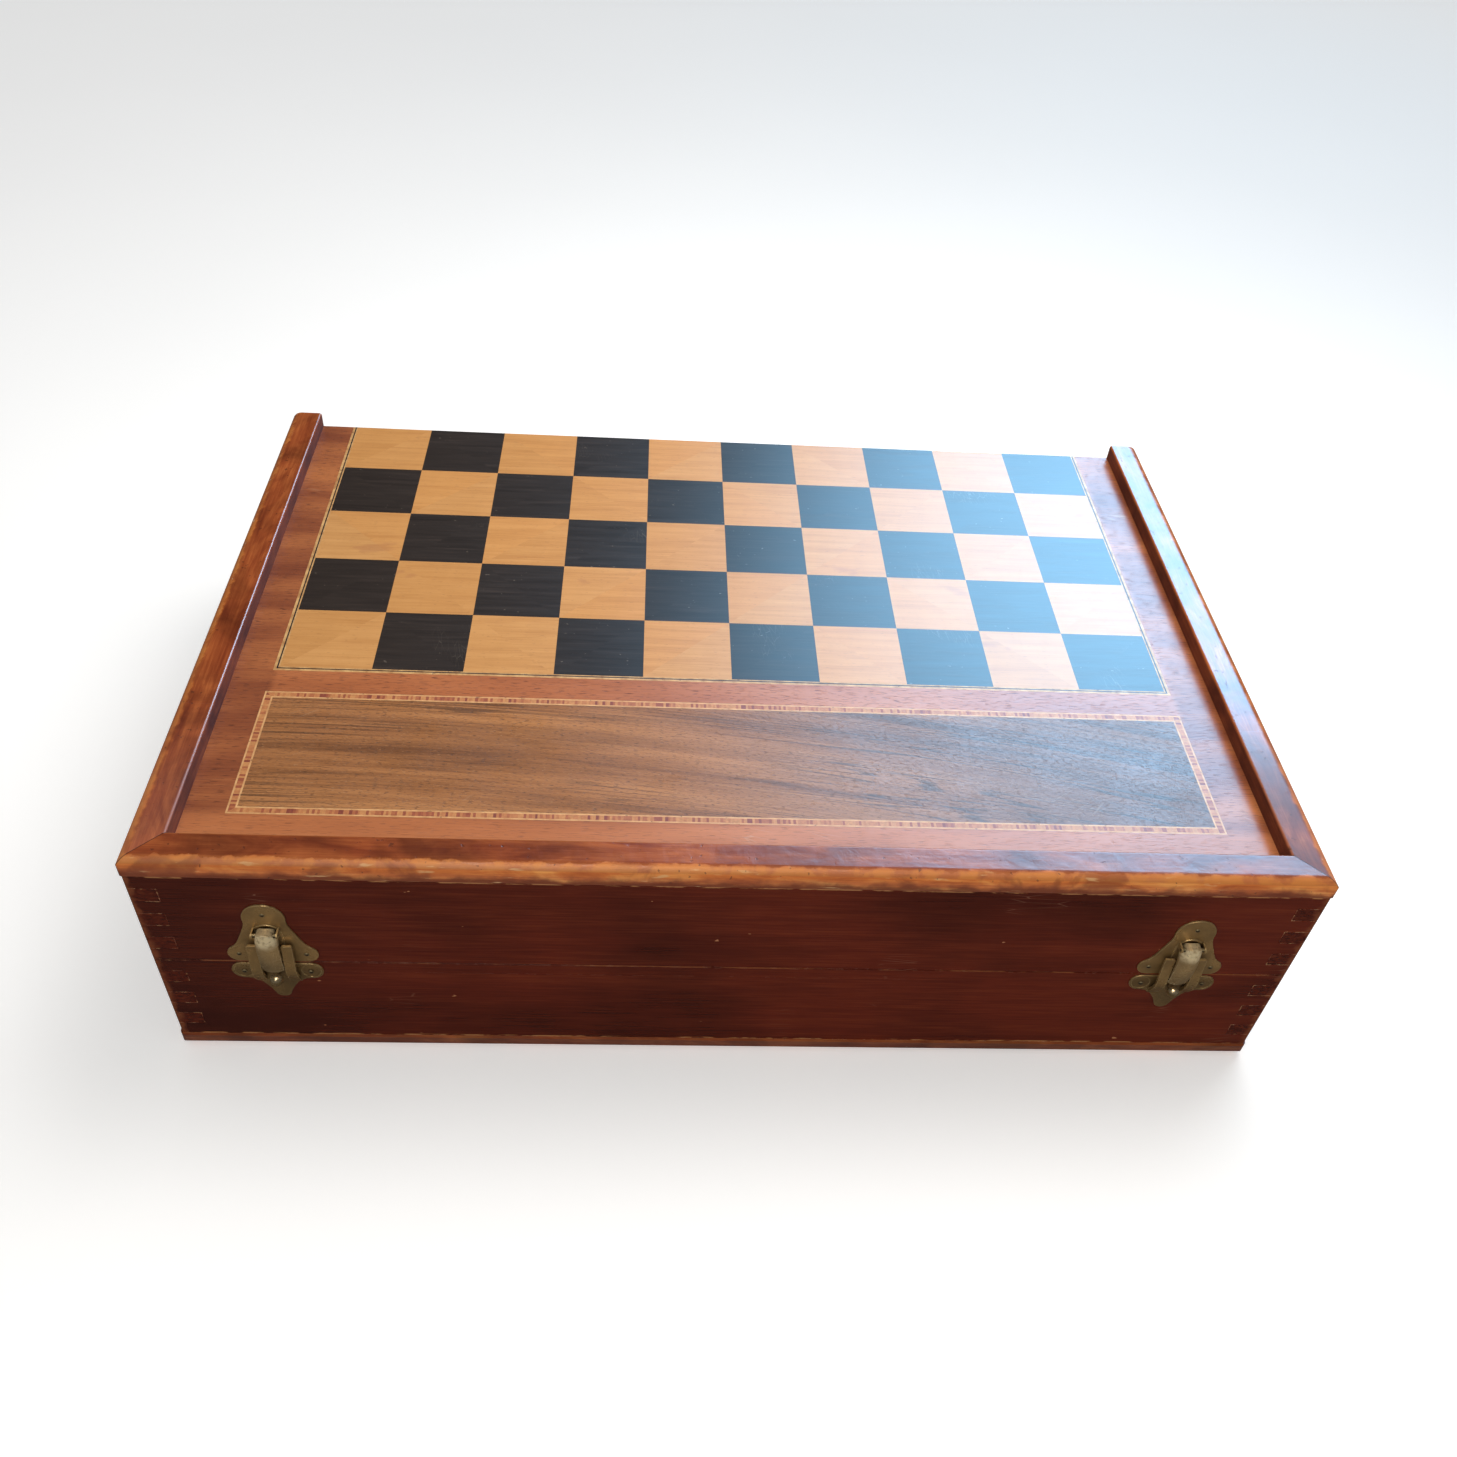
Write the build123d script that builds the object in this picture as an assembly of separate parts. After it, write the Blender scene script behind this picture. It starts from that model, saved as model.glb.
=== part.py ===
from build123d import *
import math
import os

# A folding wooden games box, closed. Each outer face carries half of a draughts board,
# and the two tray halves inside carry the points of a jacquet board.
# X runs along the box, Y from the latches (front) to the hinges (back), Z is up.
# The origin is the centre of the footprint, on the plane that the box rests on.
# All sizes are in millimetres.

# Driving dimensions
SQUARE = 38.0               # side of one board square
COLUMNS = 10                # squares along the box
ROWS = 5                    # rows on each half, counted from the hinge edge
VENEER = 0.8                # thickness of every sheet of veneer
FIELD_SHIFT = -1.2          # the squares sit this far off the box's middle
SIDE_MARGIN = 19.0          # mean distance from the squares to the side rails
FRONT_BORDER = 99.5         # from the squares to the front rail
RAIL_WIDTH = 15.0
RAIL_HEIGHT = 8.3
RAIL_PROUD = 0.8            # how far the rails stand out past the walls
RAIL_OUTER_ROUND = 5.0
RAIL_INNER_ROUND = 1.2
RAIL_CORNER_ROUND = 3.0
WALL = 11.0                 # wall thickness
WALL_HEIGHT = 49.5          # one half's wall, from the seam to the board
WALL_CORNER_ROUND = 1.6
SEAM_CHAMFER = 0.35
FINGERS = 7                 # finger-joint steps in each corner of a half
BOARD = 5.0                 # thickness of the plywood board
BOARD_REBATE = 6.0          # width of the step in the walls that holds the board

# Inlay on the outer faces
INNER_STRING = 0.6          # light line next to the squares
DARK_STRING = 0.6           # black line round it
OUTER_STRING = 1.1          # light line outside the black one
PANEL_GAP = 15.4            # from the squares to the banding of the walnut panel
BANDING_DEPTH = 68.0        # the banding's outer size, front to back
BANDING_LENGTH = 385.0      # the banding's outer size, along the box
BANDING_LINE = 0.7          # light line on each side of the blocks
BANDING_BLOCKS = 2.3

# Points inlaid in the tray floors
POINTS_PER_SIDE = 6
POINT_LENGTH = 168.0
POINT_BASE = 43.0
POINT_INSET = 2.0           # from the wall to the foot of a point
POINT_TIP = 1.2             # width of the blunt tip

# Butt hinges
HINGE_X = 150.0
HINGE_LENGTH = 50.0
HINGE_LEAF = 1.2
HINGE_LEAF_DEPTH = 9.0
HINGE_OFFSET = 0.15         # pin axis behind the back wall
LEAF_TO_PIN = 1.8           # from the leaf's flat part to the pin axis
KNUCKLES = 5
KNUCKLE_RADIUS = 2.4
KNUCKLE_GAP = 0.1
KNUCKLE_CLEARANCE = 0.3
HINGE_PIN_RADIUS = 1.2
RUNNING_CLEARANCE = 0.05
SCREW_HEAD_RADIUS = 2.0
SCREW_RADIUS = 1.0
SCREW_LENGTH = 8.0
SCREW_SPACING = 18.0
SCREW_SLOT = 0.5

# Latches, measured from the seam and from the face of the front wall
LATCH_X = 177.0
PLATE = 0.7                 # thickness of the pressed brass plates
PLATE_EDGE = 0.25
CROWN_Z = 26.6              # centre of the upper plate's round top
CROWN_RADIUS = 8.0
LOBE_X = 12.6               # centres of the upper plate's two lobes
LOBE_Z = 5.4
LOBE_RADIUS = 4.4
WING_X = 12.8               # centres of the lower plate's two wings
WING_Z = -5.2
WING_RADIUS = 4.6
WING_RIM = 0.9              # flat rim round each wing's shallow dish
WING_DISH = 0.25
TIP_Z = -18.6               # centre of the lower plate's pointed tip
TIP_RADIUS = 3.2
TONGUE_PIN_Z = 20.6
TONGUE_PIN_OUT = 3.5
TONGUE_PIN_RADIUS = 0.8
TONGUE_ROOT_RADIUS = 2.65
TONGUE_SIDE_GAP = 0.2       # between the tongue and each ear
TONGUE_CROWN_Z = 18.6       # centre of the round top of the tongue, seen from the front
TONGUE_END_Z = -12.0        # well past the tongue's lower end
TONGUE_STOCK = 9.0          # more than the tongue's half width and its height off the wall
EAR_RADIUS = 1.3
EAR_INSIDE = 4.3            # half the gap between the two ears
EAR_THICKNESS = 0.7
COLLAR_INSIDE = 4.5         # half the width of the opening in the raised collar
COLLAR_WIDTH = 1.0
COLLAR_HEIGHT = 0.35        # above the plate
COLLAR_ARCH_Z = 18.1
COLLAR_FOOT_Z = 6.5
PRONG_X = 6.4
PRONG_WIDTH = 4.0
PRONG_CORNER = 0.7
STUD_Z = -6.6
STUD_OUT = 3.9
STUD_RADIUS = 2.5
STUD_NECK_RADIUS = 1.1
STUD_DEPTH = 5.0
NAIL_HEAD_RADIUS = 0.95
NAIL_HEAD_HEIGHT = 0.5
NAIL_RADIUS = 0.5
NAIL_LENGTH = 7.0
UPPER_NAILS = ((0.0, 29.0), (-12.6, 5.5), (12.6, 5.5))
LOWER_NAILS = ((-12.6, -5.6), (12.6, -5.6))

# Sizes that follow from the driving dimensions
FIELD_LENGTH = COLUMNS * SQUARE
FIELD_DEPTH = ROWS * SQUARE
LENGTH = FIELD_LENGTH + 2 * (SIDE_MARGIN + RAIL_WIDTH - RAIL_PROUD)
DEPTH = FIELD_DEPTH + FRONT_BORDER + RAIL_WIDTH - RAIL_PROUD
BACK = DEPTH / 2
FRONT = -DEPTH / 2
SEAM_Z = WALL_HEIGHT + RAIL_HEIGHT
FIELD_FRONT = BACK - FIELD_DEPTH
FIELD_LEFT = FIELD_SHIFT - FIELD_LENGTH / 2
FIELD_RIGHT = FIELD_SHIFT + FIELD_LENGTH / 2
RAIL_LINE_X = FIELD_LENGTH / 2 + SIDE_MARGIN
RAIL_LINE_Y = FIELD_FRONT - FRONT_BORDER
TRAY_LENGTH = LENGTH - 2 * WALL
TRAY_DEPTH = DEPTH - 2 * WALL
TRAY_FLOOR_Z = WALL_HEIGHT - BOARD - VENEER
FINGER = WALL_HEIGHT / FINGERS
STRINGING = INNER_STRING + DARK_STRING + OUTER_STRING
HINGE_Y = BACK + HINGE_OFFSET
LOWEST = (Align.CENTER, Align.CENTER, Align.MIN)


def block(x0, x1, y0, y1, z0, z1):
    """A box given by its lowest and highest corners."""
    centre = Pos((x0 + x1) / 2, (y0 + y1) / 2, (z0 + z1) / 2)
    return centre * Box(x1 - x0, y1 - y0, z1 - z0)


def sheet(x0, x1, y0, y1):
    """A rectangle of veneer on the board, at the outer face of a half."""
    return block(x0, x1, y0, y1, WALL_HEIGHT, WALL_HEIGHT + VENEER)


# One half is drawn as the upper one: its seam at z = 0, and its outer face at the top.
# The lower half is the upper half's mirror image below the seam.


def in_place(shape, half):
    """Move a shape of one half to its place in the closed box."""
    if half == "lower":
        shape = mirror(shape, about=Plane.XY)
    return Pos(0, 0, SEAM_Z) * shape


def hinge_notches():
    """The room cut from the back wall for the leaves and knuckles of both hinges."""
    cuts = []
    for x in (-HINGE_X, HINGE_X):
        half_length = HINGE_LENGTH / 2
        cuts.append(block(x - half_length, x + half_length, BACK - HINGE_LEAF_DEPTH, BACK + 1, -1, HINGE_LEAF))
        barrel = Cylinder(KNUCKLE_RADIUS + KNUCKLE_CLEARANCE, HINGE_LENGTH + 2 * KNUCKLE_CLEARANCE)
        cuts.append(Pos(x, HINGE_Y, 0) * Rot(0, 90, 0) * barrel)
    return cuts


def wall_frame():
    """The four walls of one half in one piece, before the corners are divided."""
    frame = extrude(RectangleRounded(LENGTH, DEPTH, WALL_CORNER_ROUND), WALL_HEIGHT)
    seam_face = frame.faces().sort_by(Axis.Z)[0]
    frame = chamfer(seam_face.edges(), SEAM_CHAMFER)
    frame -= Box(TRAY_LENGTH, TRAY_DEPTH, 3 * WALL_HEIGHT)
    step = Box(TRAY_LENGTH + 2 * BOARD_REBATE, TRAY_DEPTH + 2 * BOARD_REBATE, 2 * BOARD)
    frame -= Pos(0, 0, WALL_HEIGHT) * step
    return frame


def corner_steps(x_side, y_side, first):
    """Every second step of one corner's finger joint, starting with step number first."""
    x_in = LENGTH / 2 - WALL
    y_in = DEPTH / 2 - WALL
    steps = []
    for number in range(first, FINGERS, 2):
        piece = Pos(x_side * (x_in + WALL), y_side * (y_in + WALL), (number + 0.5) * FINGER)
        steps.append(piece * Box(2 * WALL, 2 * WALL, FINGER))
    return steps


def long_wall(frame, y_side):
    """The front (-1) or back (+1) wall: it owns the even steps of its two corners."""
    middle = y_side * (DEPTH / 2 - WALL / 2)
    slab = Pos(0, middle, WALL_HEIGHT / 2) * Box(LENGTH + 2, WALL, WALL_HEIGHT)
    wall = frame & slab
    for x_side in (-1, 1):
        wall -= corner_steps(x_side, y_side, 1)
    return wall


def side_wall(frame, x_side):
    """The left (-1) or right (+1) wall: it owns the odd steps of its two corners."""
    middle = x_side * (LENGTH / 2 - WALL / 2)
    slab = Pos(middle, 0, WALL_HEIGHT / 2) * Box(WALL, DEPTH + 2, WALL_HEIGHT)
    wall = frame & slab
    for y_side in (-1, 1):
        wall -= corner_steps(x_side, y_side, 0)
    return wall


def board():
    """The plywood board in the step of the walls, under the veneer."""
    size = Box(TRAY_LENGTH + 2 * BOARD_REBATE, TRAY_DEPTH + 2 * BOARD_REBATE, BOARD, align=LOWEST)
    return Pos(0, 0, WALL_HEIGHT - BOARD) * size


def rail_profile():
    """Cross-section of a rail: x from its outer edge inwards, y upwards."""
    outline = Rectangle(RAIL_WIDTH, RAIL_HEIGHT, align=(Align.MIN, Align.MIN))
    outer_top = outline.vertices().group_by(Axis.Y)[-1].sort_by(Axis.X)[0]
    outline = fillet(outer_top, RAIL_OUTER_ROUND)
    inner_top = outline.vertices().group_by(Axis.Y)[-1].sort_by(Axis.X)[-1]
    outline = fillet(inner_top, RAIL_INNER_ROUND)
    outer_foot = outline.vertices().group_by(Axis.Y)[0].sort_by(Axis.X)[0]
    return chamfer(outer_foot, RAIL_PROUD)


def rails():
    """The front, left and right rails of one half, mitred at the two front corners."""
    x_out = RAIL_LINE_X + RAIL_WIDTH
    y_out = RAIL_LINE_Y - RAIL_WIDTH
    front_plane = Plane(origin=(-x_out, y_out, WALL_HEIGHT), x_dir=(0, 1, 0), z_dir=(1, 0, 0))
    side_plane = Plane(origin=(-x_out, BACK, WALL_HEIGHT), x_dir=(1, 0, 0), z_dir=(0, -1, 0))
    front_bar = extrude(front_plane * rail_profile(), 2 * x_out)
    side_bar = extrude(side_plane * rail_profile(), BACK - y_out)
    front_area = Polygon(
        (-x_out, y_out),
        (x_out, y_out),
        (RAIL_LINE_X, RAIL_LINE_Y),
        (-RAIL_LINE_X, RAIL_LINE_Y),
        align=None,
    )
    side_area = Polygon(
        (-x_out, y_out),
        (-RAIL_LINE_X, RAIL_LINE_Y),
        (-RAIL_LINE_X, BACK),
        (-x_out, BACK),
        align=None,
    )
    worn = RectangleRounded(2 * x_out, 2 * (BACK - y_out), RAIL_CORNER_ROUND)
    rounded_corners = Pos(0, BACK, 0) * extrude(worn, 2 * WALL_HEIGHT)
    front = front_bar & extrude(front_area, 2 * WALL_HEIGHT) & rounded_corners
    left = side_bar & extrude(side_area, 2 * WALL_HEIGHT) & rounded_corners
    right = mirror(left, about=Plane.YZ)
    return front, left, right


def squares(parity):
    """Every second square of the half board; parity 0 holds the hinge row's left square."""
    pieces = []
    for row in range(ROWS):
        for column in range(COLUMNS):
            if (row + column) % 2 == parity:
                x = FIELD_LEFT + column * SQUARE
                y = BACK - row * SQUARE
                pieces.append(sheet(x, x + SQUARE, y - SQUARE, y))
    return pieces


def open_border(inset, width):
    """A line round the left, front and right sides of the squares."""
    outside = inset + width
    outer = sheet(FIELD_LEFT - outside, FIELD_RIGHT + outside, FIELD_FRONT - outside, BACK)
    return outer - sheet(FIELD_LEFT - inset, FIELD_RIGHT + inset, FIELD_FRONT - inset, BACK)


def frame_area(margin):
    """The walnut panel's area with a margin taken off each side of the banding."""
    half = BANDING_LENGTH / 2 - margin
    back = FIELD_FRONT - PANEL_GAP - margin
    front = FIELD_FRONT - PANEL_GAP - BANDING_DEPTH + margin
    return sheet(FIELD_SHIFT - half, FIELD_SHIFT + half, front, back)


def crossband():
    """Mahogany veneer: two side bands, and the strips behind and in front of the panel."""
    left = FIELD_LEFT - STRINGING
    right = FIELD_RIGHT + STRINGING
    pieces = [
        sheet(-RAIL_LINE_X, left, RAIL_LINE_Y, BACK),
        sheet(right, RAIL_LINE_X, RAIL_LINE_Y, BACK),
        sheet(left, right, RAIL_LINE_Y, FIELD_FRONT - STRINGING),
    ]
    hole = frame_area(0)
    return [piece - hole for piece in pieces]


def point(number, x_side):
    """One long point of the jacquet board, inlaid in the tray floor from a side wall."""
    foot = TRAY_LENGTH / 2 - POINT_INSET
    spacing = TRAY_DEPTH / POINTS_PER_SIDE
    y = -TRAY_DEPTH / 2 + (number + 0.5) * spacing
    outline = Polygon(
        (x_side * foot, y - POINT_BASE / 2),
        (x_side * foot, y + POINT_BASE / 2),
        (x_side * (foot - POINT_LENGTH), y + POINT_TIP / 2),
        (x_side * (foot - POINT_LENGTH), y - POINT_TIP / 2),
        align=None,
    )
    return Pos(0, 0, TRAY_FLOOR_Z) * extrude(outline, VENEER, dir=(0, 0, 1))


def points(parity):
    """Half of the points of one tray, in one of the two woods."""
    pieces = []
    for x_side in (-1, 1):
        for number in range(POINTS_PER_SIDE):
            opposite = (number + (x_side > 0)) % 2
            if opposite == parity:
                pieces.append(point(number, x_side))
    return pieces


def tray_floor():
    """The veneer inside the tray, cut out for its points."""
    floor = Pos(0, 0, TRAY_FLOOR_Z) * Box(TRAY_LENGTH, TRAY_DEPTH, VENEER, align=LOWEST)
    return floor - points(0) - points(1)


def knuckle_span(number):
    """Where one knuckle starts and ends along its hinge, from the hinge's middle."""
    step = HINGE_LENGTH / KNUCKLES
    start = -HINGE_LENGTH / 2 + number * step
    return start + KNUCKLE_GAP / 2, start + step - KNUCKLE_GAP / 2


def hinge_leaf(half):
    """A hinge leaf under the seam's plane of its half, with its share of the knuckles."""
    first = 0 if half == "lower" else 1
    leaf = block(-HINGE_LENGTH / 2, HINGE_LENGTH / 2, BACK - HINGE_LEAF_DEPTH, HINGE_Y - LEAF_TO_PIN, 0, HINGE_LEAF)
    other = KNUCKLE_RADIUS + KNUCKLE_GAP
    for number in range(KNUCKLES):
        start, end = knuckle_span(number)
        turn = Pos((start + end) / 2, HINGE_Y, 0) * Rot(0, 90, 0)
        if number % 2 == first:
            leaf += turn * Cylinder(KNUCKLE_RADIUS, end - start)
        else:
            leaf -= turn * Cylinder(other, end - start + 2 * KNUCKLE_GAP)
    bore = HINGE_PIN_RADIUS if half == "lower" else HINGE_PIN_RADIUS + RUNNING_CLEARANCE
    leaf -= Pos(0, HINGE_Y, 0) * Rot(0, 90, 0) * Cylinder(bore, 2 * HINGE_LENGTH)
    return leaf


def hinge_screw():
    """A countersunk slotted screw, its head flush with the seam and its point upwards."""
    sink = SCREW_HEAD_RADIUS - SCREW_RADIUS
    head = Cone(SCREW_HEAD_RADIUS, SCREW_RADIUS, sink, align=LOWEST)
    shank = Cylinder(SCREW_RADIUS, SCREW_LENGTH, align=LOWEST)
    return head + shank


def screw_places():
    """The place of each screw of the two hinges, in one leaf."""
    y = BACK - HINGE_LEAF_DEPTH / 2
    places = []
    for x in (-HINGE_X, HINGE_X):
        for step in (-1, 0, 1):
            places.append(Pos(x + step * SCREW_SPACING, y, 0))
    return places


def slotted(screw):
    """The screw with a slot across its head."""
    return screw - Box(3 * SCREW_HEAD_RADIUS, SCREW_SLOT, SCREW_SLOT)


def latch_plane(x):
    """The front wall's face at a latch: x along the box, y up from the seam, z outwards."""
    return Plane(origin=(x, FRONT, SEAM_Z), x_dir=(1, 0, 0), z_dir=(0, -1, 0))


def on_circle(x, z, radius, degrees):
    """A point of a circle; 0 degrees is towards +x and 90 is up."""
    angle = math.radians(degrees)
    return x + radius * math.cos(angle), z + radius * math.sin(angle)


def two_sided(right_side):
    """A closed face from the edges of its right side and their mirror image."""
    edges = [*right_side]
    for edge in right_side:
        edges.append(mirror(edge, about=Plane.YZ))
    return make_face(edges)


def upper_plate_outline():
    """The bell of the upper plate: a round crown, a flare and two lobes at the seam."""
    flare_top = on_circle(0, CROWN_Z, CROWN_RADIUS, -8)
    lobe_top = on_circle(LOBE_X, LOBE_Z, LOBE_RADIUS, 55)
    lobe_foot = (LOBE_X, LOBE_Z - LOBE_RADIUS)
    crown = ThreePointArc((0, CROWN_Z + CROWN_RADIUS), on_circle(0, CROWN_Z, CROWN_RADIUS, 40), flare_top)
    flare = Spline(
        flare_top,
        (8.9, 20.5),
        (11.0, 15.4),
        lobe_top,
        tangents=[(-0.14, -1.0), (0.82, -0.57)],
    )
    lobe = ThreePointArc(lobe_top, on_circle(LOBE_X, LOBE_Z, LOBE_RADIUS, -15), lobe_foot)
    foot = Line(lobe_foot, (0, LOBE_Z - LOBE_RADIUS))
    return two_sided([crown, flare, lobe, foot])


def lower_plate_outline():
    """Two round wings under the seam, and a pointed lobe below them."""
    wing_top = (WING_X, WING_Z + WING_RADIUS)
    wing_foot = on_circle(WING_X, WING_Z, WING_RADIUS, -100)
    tip_side = on_circle(0, TIP_Z, TIP_RADIUS, -15)
    top = Line((0, WING_Z + WING_RADIUS), wing_top)
    wing = ThreePointArc(wing_top, on_circle(WING_X, WING_Z, WING_RADIUS, -5), wing_foot)
    waist = Spline(
        wing_foot,
        (7.4, -11.8),
        (4.9, -15.4),
        tip_side,
        tangents=[(-1.0, -0.18), (-0.26, -0.97)],
    )
    tip = ThreePointArc(tip_side, on_circle(0, TIP_Z, TIP_RADIUS, -55), (0, TIP_Z - TIP_RADIUS))
    return two_sided([top, wing, waist, tip])


def pressed_plate(outline):
    """A thin plate with its front edge softened."""
    plate = extrude(outline, PLATE)
    front_face = plate.faces().sort_by(Axis.Z)[-1]
    return fillet(front_face.edges(), PLATE_EDGE)


def collar():
    """The low rim round the tongue's opening: an arch with two straight legs."""
    outside = COLLAR_INSIDE + COLLAR_WIDTH

    def arch(half_width, foot_z):
        round_top = Pos(0, COLLAR_ARCH_Z) * Circle(half_width)
        height = COLLAR_ARCH_Z - foot_z
        legs = Pos(0, (COLLAR_ARCH_Z + foot_z) / 2) * Rectangle(2 * half_width, height)
        return round_top + legs

    rim = arch(outside, COLLAR_FOOT_Z) - arch(COLLAR_INSIDE, COLLAR_FOOT_Z - 1)
    solid = extrude(rim, PLATE + COLLAR_HEIGHT)
    top_face = solid.faces().sort_by(Axis.Z)[-1]
    return fillet(top_face.edges(), COLLAR_WIDTH / 3)


def ears():
    """Two small lugs on the upper plate that hold the tongue's pin."""
    pieces = []
    for side in (-1, 1):
        profile = Pos(TONGUE_PIN_Z, TONGUE_PIN_OUT) * Circle(EAR_RADIUS)
        profile += Pos(TONGUE_PIN_Z, TONGUE_PIN_OUT / 2) * Rectangle(2 * EAR_RADIUS, TONGUE_PIN_OUT)
        inner = side * EAR_INSIDE - (EAR_THICKNESS if side < 0 else 0)
        plane = Plane(origin=(inner, 0, 0), x_dir=(0, 1, 0), z_dir=(1, 0, 0))
        pieces.append(extrude(plane * profile, EAR_THICKNESS))
    return pieces


def tongue_pin():
    half = EAR_INSIDE + EAR_THICKNESS
    return Pos(0, TONGUE_PIN_Z, TONGUE_PIN_OUT) * Rot(0, 90, 0) * Cylinder(TONGUE_PIN_RADIUS, 2 * half)


def upper_plate():
    plate = pressed_plate(upper_plate_outline()) + collar()
    for ear in ears():
        plate += ear
    for x, z in UPPER_NAILS:
        plate -= nail(x, z)
    return plate - tongue_pin()


def prong():
    """One guide prong: a strip that leaves the lower plate, arches out and ends upright."""
    outer = Spline(
        (-12.0, 0.3),
        (-8.0, 2.5),
        (-3.0, 4.0),
        (3.0, 3.9),
        (9.0, 3.1),
        (13.1, 3.0),
    )
    inner = Spline(
        (-9.5, 0.3),
        (-7.0, 1.4),
        (-3.0, 2.9),
        (3.0, 2.8),
        (9.0, 2.1),
        (13.1, 2.0),
    )
    strip = make_face([outer, inner, Line(outer @ 0, inner @ 0), Line(outer @ 1, inner @ 1)])
    plane = Plane(origin=(-PRONG_WIDTH / 2, 0, 0), x_dir=(0, 1, 0), z_dir=(1, 0, 0))
    solid = extrude(plane * strip, PRONG_WIDTH)
    corners = [edge for edge in solid.edges().group_by(Axis.Y)[-1] if edge.length < PLATE * 2]
    return fillet(corners, PRONG_CORNER)


def lower_plate():
    plate = pressed_plate(lower_plate_outline())
    for side in (-1, 1):
        dish = Pos(side * WING_X, WING_Z) * Circle(WING_RADIUS - WING_RIM)
        plate -= Pos(0, 0, PLATE - WING_DISH) * extrude(dish, PLATE)
        plate += Pos(side * PRONG_X, 0, 0) * prong()
    for x, z in LOWER_NAILS:
        plate -= nail(x, z)
    return plate - ball_stud()


def ball_stud():
    """The ball on its neck, riveted through the lower plate into the wall."""
    ball = Pos(0, STUD_Z, STUD_OUT) * Sphere(STUD_RADIUS)
    length = STUD_OUT + STUD_DEPTH
    neck = Pos(0, STUD_Z, -STUD_DEPTH) * Cylinder(STUD_NECK_RADIUS, length, align=LOWEST)
    return ball + neck


def nail(x, z):
    """A round-headed brass nail through a plate into the wall."""
    shank = Pos(x, z, -NAIL_LENGTH) * Cylinder(NAIL_RADIUS, NAIL_LENGTH + PLATE, align=LOWEST)
    dome_radius = (NAIL_HEAD_RADIUS**2 + NAIL_HEAD_HEIGHT**2) / (2 * NAIL_HEAD_HEIGHT)
    dome = Pos(x, z, PLATE + NAIL_HEAD_HEIGHT - dome_radius) * Sphere(dome_radius)
    above = Pos(x, z, PLATE) * Cylinder(2 * NAIL_HEAD_RADIUS, 2 * NAIL_HEAD_HEIGHT, align=LOWEST)
    return shank + (dome & above)


def tongue_section(height, half_width, inner, outer):
    """A cross-section of the tongue: flat behind, domed in front."""
    shoulder = inner + 0.45 * (outer - inner)
    back = Line((-half_width, inner), (half_width, inner))
    right = Line((half_width, inner), (half_width, shoulder))
    dome = ThreePointArc((half_width, shoulder), (0, outer), (-half_width, shoulder))
    left = Line((-half_width, shoulder), (-half_width, inner))
    plane = Plane(origin=(0, height, 0), x_dir=(1, 0, 0), z_dir=(0, -1, 0))
    return plane * make_face([back, right, dome, left])


def tongue():
    """The domed thumb tongue: a round root on the pin, a bulge and a blunt end."""
    sections = [
        tongue_section(23.4, 3.7, 1.0, 5.6),
        tongue_section(19.4, 3.9, 1.2, 6.2),
        tongue_section(15.4, 4.1, 2.6, 6.5),
        tongue_section(11.4, 4.1, 3.5, 6.4),
        tongue_section(7.4, 4.1, 3.6, 6.1),
        tongue_section(3.4, 4.1, 3.3, 5.6),
        tongue_section(-0.6, 3.9, 2.7, 4.8),
    ]
    body = loft(sections)
    turn = Pos(0, TONGUE_PIN_Z, TONGUE_PIN_OUT) * Rot(0, 90, 0)
    stock = TONGUE_STOCK
    below_pin = block(-stock, stock, TONGUE_END_Z, TONGUE_PIN_Z, -stock, stock)
    body &= below_pin + turn * Cylinder(TONGUE_ROOT_RADIUS, 2 * stock)
    half_width = EAR_INSIDE - TONGUE_SIDE_GAP
    middle = (TONGUE_END_Z + TONGUE_CROWN_Z) / 2
    outline = Pos(0, TONGUE_CROWN_Z) * Circle(half_width)
    outline += Pos(0, middle) * Rectangle(2 * half_width, TONGUE_CROWN_Z - TONGUE_END_Z)
    body &= extrude(outline, stock)
    return body - turn * Cylinder(TONGUE_PIN_RADIUS + RUNNING_CLEARANCE, 2 * stock)


def on_latch(shape, x):
    """Put a latch piece in its place on the front wall."""
    return latch_plane(x).location * shape


def nails(places):
    """The nails of both latches through one kind of plate."""
    pieces = []
    for x in (-LATCH_X, LATCH_X):
        for place_x, place_z in places:
            pieces.append(on_latch(nail(place_x, place_z), x))
    return pieces


def save(shape, node):
    """Write one node, as one solid or as a group of separate solids."""
    if isinstance(shape, list):
        shape = Compound(children=[solid for piece in shape for solid in piece.solids()])
    export_step(shape, f"parts/{node}.step")


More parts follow.
